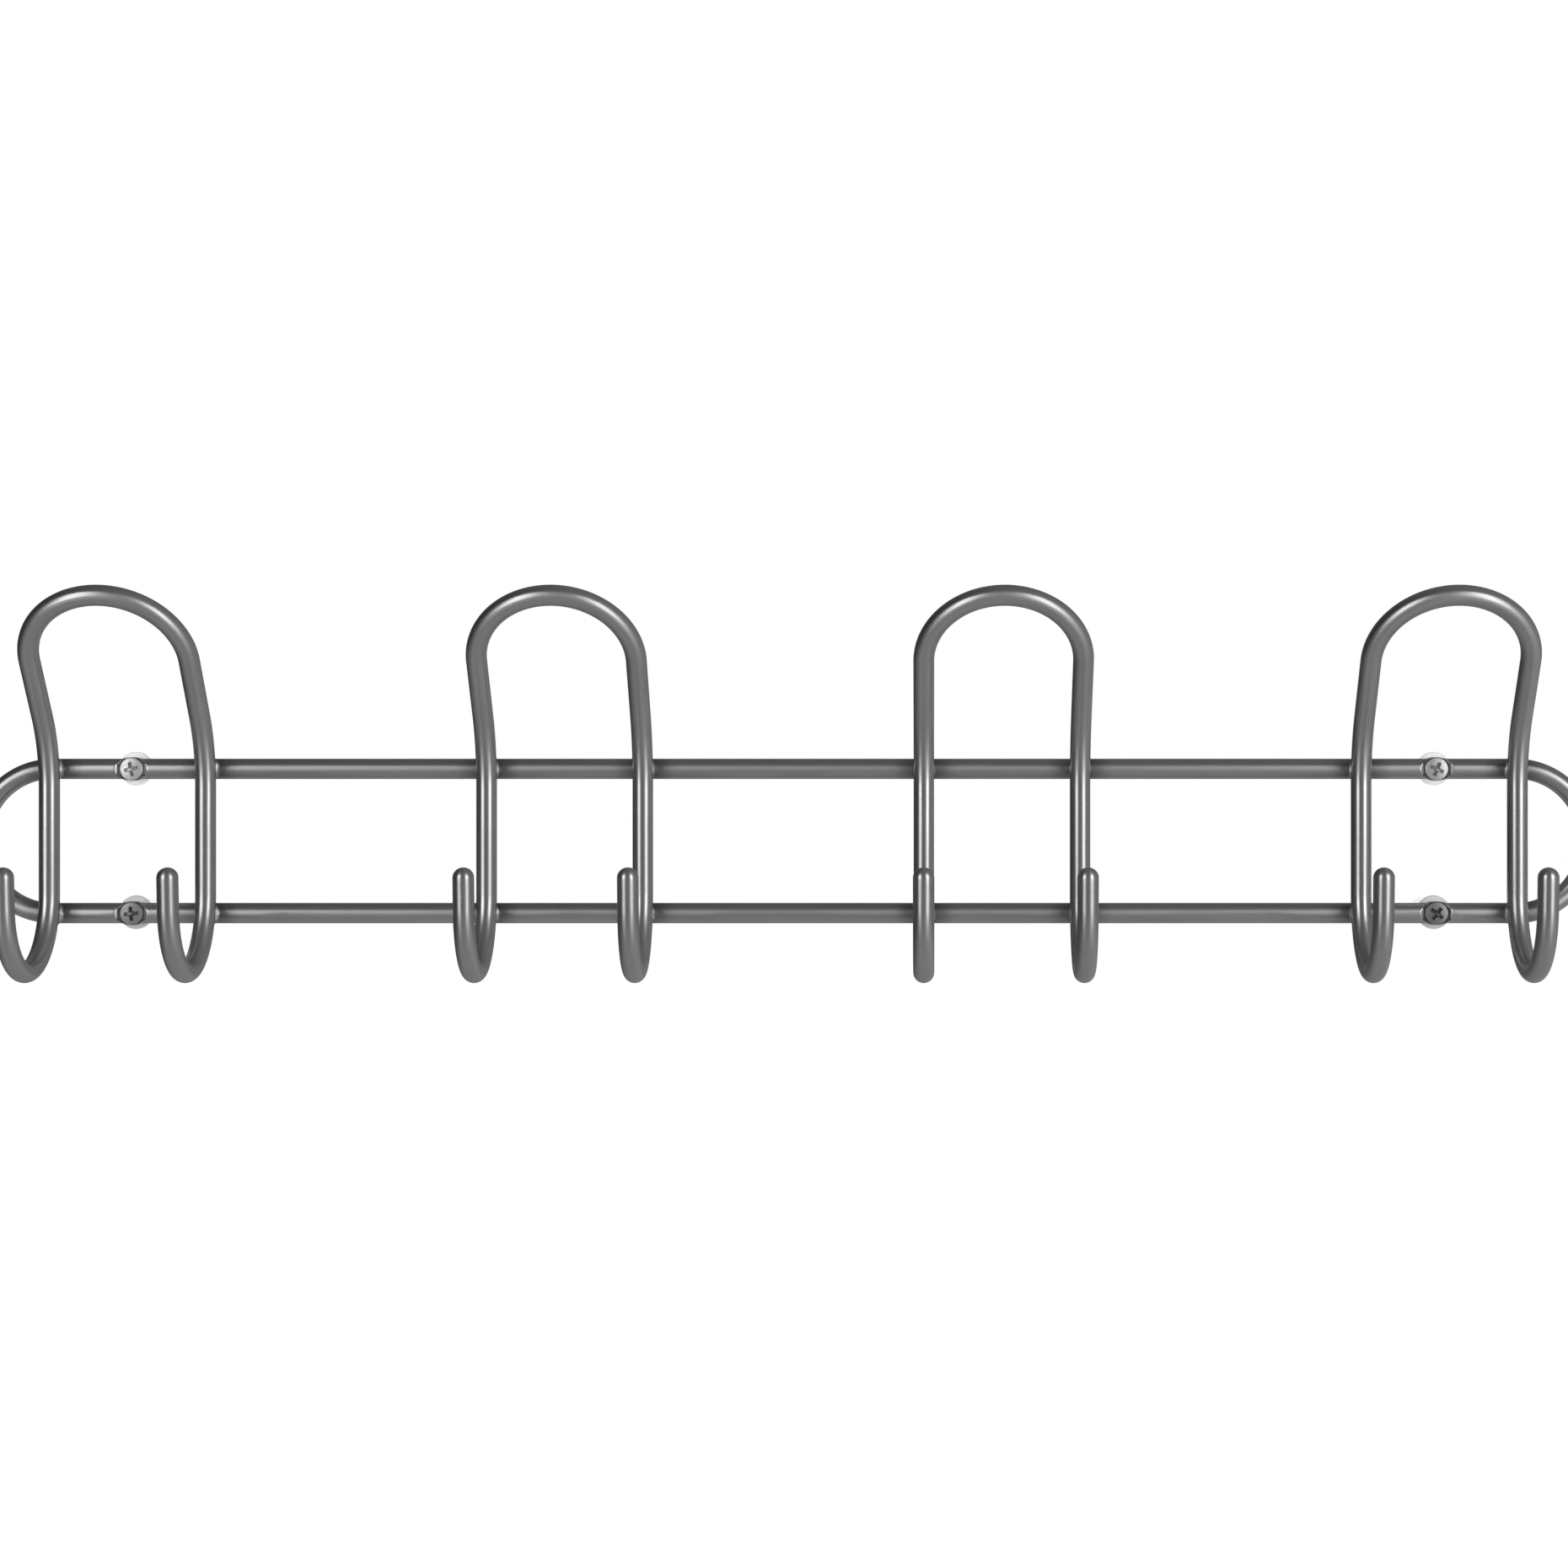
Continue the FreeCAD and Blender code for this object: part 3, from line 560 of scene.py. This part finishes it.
def cut(mesh, cutters):
    """The mesh less each cutter mesh, as a new mesh."""
    for shape in (mesh, *cutters):
        face_outward(shape)
    base = bpy.data.objects.new("base", mesh)
    bpy.context.scene.collection.objects.link(base)
    tools = []
    for index, cutter in enumerate(cutters):
        tool = bpy.data.objects.new(f"tool_{index}", cutter)
        bpy.context.scene.collection.objects.link(tool)
        boolean = base.modifiers.new(f"cut_{index}", "BOOLEAN")
        boolean.operation = "DIFFERENCE"
        boolean.solver = "EXACT"
        boolean.object = tool
        tools.append(tool)
    view = bpy.context.evaluated_depsgraph_get()
    result = bpy.data.meshes.new_from_object(base.evaluated_get(view))
    for item in (base, *tools):
        bpy.data.objects.remove(item)
    if not result.polygons:
        raise RuntimeError(f"nothing is left of {mesh.name}")
    return result


def soft_limit(value, limit, blend):
    """The smaller of two numbers, rounded over where they meet."""
    mix = max(blend - abs(value - limit), 0.0) / blend
    return min(value, limit) - mix * mix * blend / 4


# ---------------------------------------------------------------- ring

def seat_radius(place, spoke, gone):
    """The rod is round, but pressed wide and coined flat at each of the four screws."""
    offset = abs(abs(place.x) - screw_x)
    if offset >= SEAT_LENGTH / 2 + SWELL_BLEND:
        return ROD_R
    depth_share = abs(spoke.y)
    width_share = math.sqrt(max(0.0, 1 - depth_share ** 2))
    reach = ROD_R
    inside = 1 - (offset / (SEAT_LENGTH / 2)) ** 2
    if inside > 0.01:
        scale = math.sqrt(inside)
        swelling = 1 / math.hypot(depth_share / (SEAT_DEPTH / 2 * scale),
                                  width_share / (SEAT_WIDTH / 2 * scale))
        reach = -soft_limit(-reach, -swelling, SWELL_BLEND)
    flat = SEAT_THICK / 2 + max(0.0, offset - FLAT_LENGTH / 2)
    if depth_share > 0.05:
        reach = soft_limit(reach, flat / depth_share, FLAT_BLEND)
    return reach


def ring_wear(place, spoke, gone):
    """Rubbed a little brighter round the screw seats."""
    offset = abs(abs(place.x) - screw_x)
    return max(0.0, 1 - offset / (10 * MM)) * max(0.0, -spoke.y)


def leg_places():
    """X of every hook leg, which is where the ring is welded."""
    centres = [middle(f"hook_{number}").x for number in HOOKS]
    return [centre + side * LEG_SPACING / 2 for centre in centres for side in SIDES.values()]


def mark_painted_shade(mesh):
    """Store painted shade: near-black colour on the coined flats and in the countersinks, and darker
    bars beside the welded legs.
    """
    front = ring_plane_y - SEAT_THICK / 2
    legs = leg_places()
    values = []
    for vertex in mesh.vertices:
        gap = min(abs(vertex.co.x - leg) for leg in legs) - ROD_R
        # Painted shade on the bar, darkest at each leg and fading out along the bar.
        leg_shade = LEG_SHADE_STRENGTH * max(0.0, 1 - max(gap, 0.0) / LEG_SHADE_REACH)
        offset = abs(abs(vertex.co.x) - screw_x)
        height = abs(abs(vertex.co.z) - BAR_SPACING / 2)
        on_flat = offset < FLAT_LENGTH / 2 and abs(vertex.co.y - front) < 0.06 * MM
        in_sink = math.hypot(offset, height) < SINK_R + 0.1 * MM and vertex.co.y < ring_plane_y
        values.append(1.0 if on_flat or in_sink else leg_shade)
    painted_shade = mesh.attributes.new("painted_shade", "FLOAT", "POINT")
    painted_shade.data.foreach_set("value", values)
    # Faces that a cut made carry no direction of the rod, and take the bar's.
    for way in mesh.attributes["rod_way"].data:
        if way.vector.length < 0.5:
            way.vector = ACROSS


def hole_cutter(place):
    """Clearance hole and countersink, a little longer than the coined rod is thick."""
    front = place.y - SEAT_THICK / 2
    over = 0.6 * MM
    rows = (
        (SINK_R + over, front - over),
        (HOLE_R, front + SINK_R - HOLE_R),
        (HOLE_R, place.y + 2 * ROD_R),
    )
    mesh = lathe_mesh("hole", rows, 72)
    mesh.transform(Matrix.Translation((place.x, 0, place.z)))
    return mesh


def add_ring(material):
    """The closed ring, from the middle of its upper bar and all the way round."""
    low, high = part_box("frame_ring")
    centre = (low + high) / 2
    end_radius = BAR_SPACING / 2
    half_run = (high.x - low.x) / 2 - ROD_R - end_radius
    before = screw_x - SEAT_LENGTH / 2 - MM
    seat = SEAT_LENGTH + 2 * MM
    after = half_run - before - seat
    start = Vector((centre.x, ring_plane_y, end_radius))
    walk = Walker(start, ACROSS, -INTO_WALL)
    coarse, fine = 2.0 * MM, 0.16 * MM
    walk.straight(before, coarse)
    walk.straight(seat, fine)
    walk.straight(after, coarse)
    walk.turn(end_radius, math.pi, INTO_WALL, 0.7 * MM)
    walk.straight(after, coarse)
    walk.straight(seat, fine)
    walk.straight(2 * before, coarse)
    walk.straight(seat, fine)
    walk.straight(after, coarse)
    walk.turn(end_radius, math.pi, INTO_WALL, 0.7 * MM)
    walk.straight(after, coarse)
    walk.straight(seat, fine)
    walk.straight(before, coarse)
    mesh = rod_mesh("ring_rod", walk.stations[:-1], 80, seat_radius, ring_wear, closed=True)
    places = [Vector((side * screw_x, ring_plane_y, height * end_radius))
              for side in (-1, 1) for height in (-1, 1)]
    mesh = cut(mesh, [hole_cutter(place) for place in places])
    mark_painted_shade(mesh)
    finish_piece("ring_rod", mesh, material, ["frame_ring"])


# ---------------------------------------------------------------- hooks

def hook_walk(centre_x, leg_y, foot_z):
    """From the left J's tip, over the loop and down to the right J's tip."""
    tip_way = Vector((0, -math.sin(TIP_LEAN), math.cos(TIP_LEAN)))
    leg_foot = Vector((centre_x - LEG_SPACING / 2, leg_y, foot_z))
    hook_centre = leg_foot - Vector((0, HOOK_RADIUS, 0))
    back = Vector((0, -math.cos(TIP_LEAN), -math.sin(TIP_LEAN))) * HOOK_RADIUS
    tip_top = hook_centre + back + tip_way * TIP_LENGTH
    loop_axis = Vector((0, math.cos(LOOP_LEAN), math.sin(LOOP_LEAN)))
    sweep = math.pi - TIP_LEAN
    step, arc_step = 1.0 * MM, 0.6 * MM
    walk = Walker(tip_top, -tip_way, ACROSS)
    walk.straight(TIP_LENGTH, step)
    walk.turn(HOOK_RADIUS, sweep, ACROSS, arc_step)
    walk.straight(LEG_LENGTH, step)
    walk.turn(BEND_RADIUS, LOOP_LEAN, ACROSS, arc_step)
    walk.straight(LOOP_STRAIGHT, step)
    walk.turn(LEG_SPACING / 2, math.pi, loop_axis, arc_step)
    walk.straight(LOOP_STRAIGHT, step)
    walk.turn(BEND_RADIUS, -LOOP_LEAN, ACROSS, arc_step)
    walk.straight(LEG_LENGTH, step)
    walk.turn(HOOK_RADIUS, -sweep, ACROSS, arc_step)
    walk.straight(TIP_LENGTH, step)
    return walk


def add_domes(stations):
    """Extra stations past each end that close it with a rounded tip; returns their radii too."""
    rows = 14
    domed = []
    radii = []
    for index, sign in ((0, -1), (-1, 1)):
        place, side, other, gone = stations[index]
        way = side.cross(other)
        cap = []
        for row in range(1, rows + 1):
            angle = math.pi / 2 * row / rows
            rise = DOME_HEIGHT * math.sin(angle)
            radius = max(ROD_R * math.cos(angle), 0.02 * MM)
            cap.append(((place + way * sign * rise, side, other, gone + sign * rise), radius))
        if sign < 0:
            cap.reverse()
        domed.append([station for station, _ in cap])
        radii.append([radius for _, radius in cap])
    whole = domed[0] + stations + domed[1]
    return whole, radii[0] + [ROD_R] * len(stations) + radii[1]


def add_hook(number, material):
    """One double hook, rubbed brighter at its tips, crown and saddles."""
    node = f"hook_{number}"
    low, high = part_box(node)
    leg_y = high.y - ROD_R
    foot_z = low.z + ROD_R + HOOK_RADIUS
    walk = hook_walk((low.x + high.x) / 2, leg_y, foot_z)
    stations, radii = add_domes(walk.stations)
    by_gone = {station[3]: radius for station, radius in zip(stations, radii)}
    length = walk.gone
    seed = Vector((number * 7.3, 0, 0))

    def radius_at(place, spoke, gone):
        return by_gone[gone]

    def wear_at(place, spoke, gone):
        end = min(gone, length - gone)
        tip = max(0.0, 1 - abs(end) / (2.5 * MM))
        crown = max(0.0, (place.z - high.z + 16 * MM) / (16 * MM)) * max(0.0, spoke.z)
        saddle = max(0.0, 1 - (place.z - low.z - ROD_R) / (9 * MM)) * max(0.0, spoke.z)
        patch = 0.5 + 0.5 * noise.noise(place * 220 + seed)
        return (0.8 * tip + 0.7 * crown + 0.9 * saddle) * patch

    mesh = rod_mesh(f"hook_rod_{number}", stations, 40, radius_at, wear_at)
    finish_piece(f"hook_rod_{number}", mesh, material, [node], sharp_degrees=60)


# ---------------------------------------------------------------- welds

def bead_mesh(name, size, seed):
    """Lumpy flattened bead about its own middle; size is its half extents."""
    rings, around = 24, 48
    rows = []
    for i in range(1, rings):
        tilt = math.pi * i / rings
        rows.append((size.x * math.sin(tilt), -size.y * math.cos(tilt)))
    mesh = lathe_mesh(name, rows, around)
    for vertex in mesh.vertices:
        lump = noise.noise(vertex.co * 900 + seed) * 0.05 + noise.noise(vertex.co * 2100 - seed) * 0.03
        vertex.co *= 1 - 0.03 + lump
    return mesh


def rod_cutter(axis, offset):
    """Straight rod that a bead is cut to, along X or Z and set off along Y."""
    rows = ((ROD_R, -8 * MM), (ROD_R, 8 * MM))
    mesh = lathe_mesh("rod", rows, 96)
    mesh.transform(INTO_WALL.rotation_difference(axis).to_matrix().to_4x4())
    mesh.transform(Matrix.Translation((0, offset, 0)))
    return mesh


def add_weld(name, material, seed):
    """Weld bead between a leg and a bar, cut to the shape of both rods."""
    low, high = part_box(name)
    centre = Vector(((low.x + high.x) / 2, (leg_plane_y + ring_plane_y) / 2, (low.z + high.z) / 2))
    half = Vector(((high.x - low.x) / 2, 1.8 * MM, (high.z - low.z) / 2))
    step = (ring_plane_y - leg_plane_y) / 2
    mesh = bead_mesh(name, half, Vector((seed * 3.7, seed * 1.3, 0)))
    mesh = cut(mesh, [rod_cutter(ACROSS, step), rod_cutter(UP, -step)])
    mesh.transform(Matrix.Translation(centre))
    finish_piece(name.replace("weld", "weld_bead"), mesh, material, [name])


# ---------------------------------------------------------------- screws

def thread_radius(depth, strength, taper):
    """Radius of a single-start thread at one depth, as a function of the angle."""
    def at(angle):
        turn = ((depth - THREAD_START) / THREAD_PITCH - angle / (2 * math.pi)) % 1.0
        ridge = max(0.0, 1 - abs(turn - 0.5) / 0.32)
        return (CORE_R + (SHANK_R - CORE_R) * ridge * strength) * taper
    return at


def screw_rows(length):
    """Half section of the screw from the top of its head to its point."""
    curve = (HEAD_R ** 2 + HEAD_DOME ** 2) / (2 * HEAD_DOME)
    edge = math.asin(HEAD_R / curve)
    rows = []
    for i in range(1, 13):
        angle = edge * i / 12 * 0.985
        rows.append((curve * math.sin(angle), curve - HEAD_DOME - curve * math.cos(angle)))
    rows.append((HEAD_R, 0.03 * MM))
    rows.append((HEAD_R, HEAD_LAND))
    neck = HEAD_LAND + HEAD_R - SHANK_R
    rows.append((SHANK_R, neck))
    rows.append((SHANK_R, THREAD_START - THREAD_PITCH))
    rows.append((CORE_R, THREAD_START - 0.2 * THREAD_PITCH))
    step = THREAD_PITCH / 12
    count = int((length - THREAD_START) / step)
    for i in range(count):
        depth = THREAD_START + i * step
        left = length - depth
        strength = min(1.0, i / 12, left / POINT_LENGTH)
        taper = min(1.0, left / POINT_LENGTH)
        rows.append((thread_radius(depth, strength, taper), depth))
    return rows


def cross_outline(arm, slot, fillet, scale):
    """Cross with rounded inner corners, in the head's plane."""
    arm, slot = arm * scale, slot * (0.4 + 0.6 * scale)
    fillet = fillet * scale
    points = []
    for quarter in range(4):
        turn = Matrix.Rotation(quarter * math.pi / 2, 2)
        corner = [Vector((arm, -slot)), Vector((arm, slot))]
        for i in range(5):
            angle = math.radians(270 - 90 * i / 4)
            corner.append(Vector((slot + fillet * (1 + math.cos(angle)),
                                  slot + fillet * (1 + math.sin(angle)))))
        points += [turn @ spot for spot in corner]
    return points


def recess_cutter():
    """Tapering cross that is cut into the head, with a pointed middle."""
    layers = ((-HEAD_DOME - 0.2 * MM, 1.06), (0.7 * MM, 0.82), (1.5 * MM, 0.5))
    mesh = bpy.data.meshes.new("recess")
    points, faces = [], []
    for depth, scale in layers:
        outline = cross_outline(RECESS_ARM, RECESS_SLOT, RECESS_FILLET, scale)
        points += [(spot.x, depth, spot.y) for spot in outline]
    count = len(outline)
    for layer in range(len(layers) - 1):
        for k in range(count):
            here, turn = layer * count, (k + 1) % count
            faces.append((here + k, here + turn, here + count + turn, here + count + k))
    faces.append(tuple(range(count)))
    points.append((0, RECESS_DEPTH, 0))
    last = (len(layers) - 1) * count
    for k in range(count):
        faces.append((last + k, last + (k + 1) % count, len(points) - 1))
    mesh.from_pydata(points, [], faces)
    return mesh


def add_screw(place, material):
    """One wall screw, turned to its own angle."""
    node = f"screw_{place}"
    low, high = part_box(node)
    centre = (low + high) / 2
    head_y = low.y + HEAD_DOME
    mesh = lathe_mesh(node, screw_rows(high.y - head_y), 36)
    mesh = cut(mesh, [recess_cutter()])
    keep_lathe_space(mesh)
    # Painted light and shade for this screw, stored at every point.
    painted_light = mesh.attributes.new("painted_light", "FLOAT", "POINT")
    painted_light.data.foreach_set("value", [SCREW_PAINTED_LIGHT[place]] * len(mesh.vertices))
    turned = Matrix.Rotation(math.radians(SCREW_TURN[place]), 4, -INTO_WALL)
    mesh.transform(Matrix.Translation((centre.x, head_y, centre.z)) @ turned)
    finish_piece(f"wall_screw_{place}", mesh, material, [node], sharp_degrees=28)


# ---------------------------------------------------------------- anchors

def anchor_rows(length, collar_r):
    """Closed half section: bore, rounded collar, plain body, barbs and nose."""
    rows = [(ANCHOR_BORE_R, -COLLAR_THICK + 0.15 * MM), (ANCHOR_BORE_R + 0.15 * MM, -COLLAR_THICK)]
    round_r = 0.5 * MM
    for i in range(6):
        angle = math.pi / 2 * i / 5
        rows.append((collar_r - round_r + round_r * math.sin(angle),
                     -COLLAR_THICK + round_r - round_r * math.cos(angle)))
    rows += [(collar_r, -0.1 * MM), (collar_r - 0.1 * MM, 0.0), (ANCHOR_R + 0.2 * MM, 0.0),
             (ANCHOR_R, 0.2 * MM)]
    depth = ANCHOR_PLAIN
    while depth + BARB_PITCH < length - 2 * MM:
        rows += [(ANCHOR_R, depth - 0.05 * MM), (ANCHOR_R - BARB_DEPTH, depth),
                 (ANCHOR_R, depth + 0.8 * BARB_PITCH)]
        depth += BARB_PITCH
    rows += [(ANCHOR_R, depth), (NOSE_R, length), (ANCHOR_BORE_R, length)]
    return rows


def slot_cutter(length):
    """Slab that splits the anchor's body from its plain part to its nose."""
    mesh = bpy.data.meshes.new("slot")
    work = bmesh.new()
    bmesh.ops.create_cube(work, size=1.0)
    work.to_mesh(mesh)
    work.free()
    run = length - ANCHOR_PLAIN + MM
    shape = Matrix.Diagonal((SPLIT_WIDTH, run, 12 * MM, 1))
    mesh.transform(Matrix.Translation((0, ANCHOR_PLAIN + run / 2, 0)) @ shape)
    return mesh


def mark_nylon(mesh, painted_glow):
    """Store how milky the nylon is (the collar is thick, the split body thin and clearer) and how much
    painted glow each part gets.
    """
    haze = [COLLAR_HAZE if vertex.co.y < 0.1 * MM else BODY_HAZE for vertex in mesh.vertices]
    mesh.attributes.new("haze", "FLOAT", "POINT").data.foreach_set("value", haze)
    painted_glows = [painted_glow if value == COLLAR_HAZE else BODY_PAINTED_GLOW for value in haze]
    mesh.attributes.new("painted_glow", "FLOAT", "POINT").data.foreach_set("value", painted_glows)


def add_anchor(place, material):
    """One wall anchor; the wall's face is where its collar ends."""
    node = f"anchor_{place}"
    low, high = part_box(node)
    centre = (low + high) / 2
    length = high.y
    mesh = lathe_mesh(node, anchor_rows(length, (high.x - low.x) / 2), 64, closed=True)
    mesh = cut(mesh, [slot_cutter(length)])
    mark_nylon(mesh, ANCHOR_PAINTED_GLOW[place.split("_")[0]])
    mesh.transform(Matrix.Translation((centre.x, 0, centre.z)))
    finish_piece(f"wall_anchor_{place}", mesh, material, [node])


# ---------------------------------------------------------------- scene

add_camera()
for lamp in LAMPS:
    add_lamp(*lamp)
add_world()
add_floor()
bpy.context.scene.view_settings.view_transform = "Standard"

rod_finish = plated_rod()
weld_finish = weld_metal()
screw_finish = screw_steel()
nylon_finish = anchor_nylon()

add_ring(rod_finish)
for number in HOOKS:
    add_hook(number, rod_finish)
    for side in SIDES:
        for height in HEIGHTS:
            seed = 4 * number + SIDES[side] + HEIGHTS[height] / 2
            add_weld(f"weld_{number}_{side}_{height}", weld_finish, seed)
for place in SCREW_TURN:
    add_screw(place, screw_finish)
    add_anchor(place, nylon_finish)

boxes = {"cad": cad_bounds, "visual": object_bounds()}
{key: [list(corner) for corner in box] for key, box in boxes.items()}
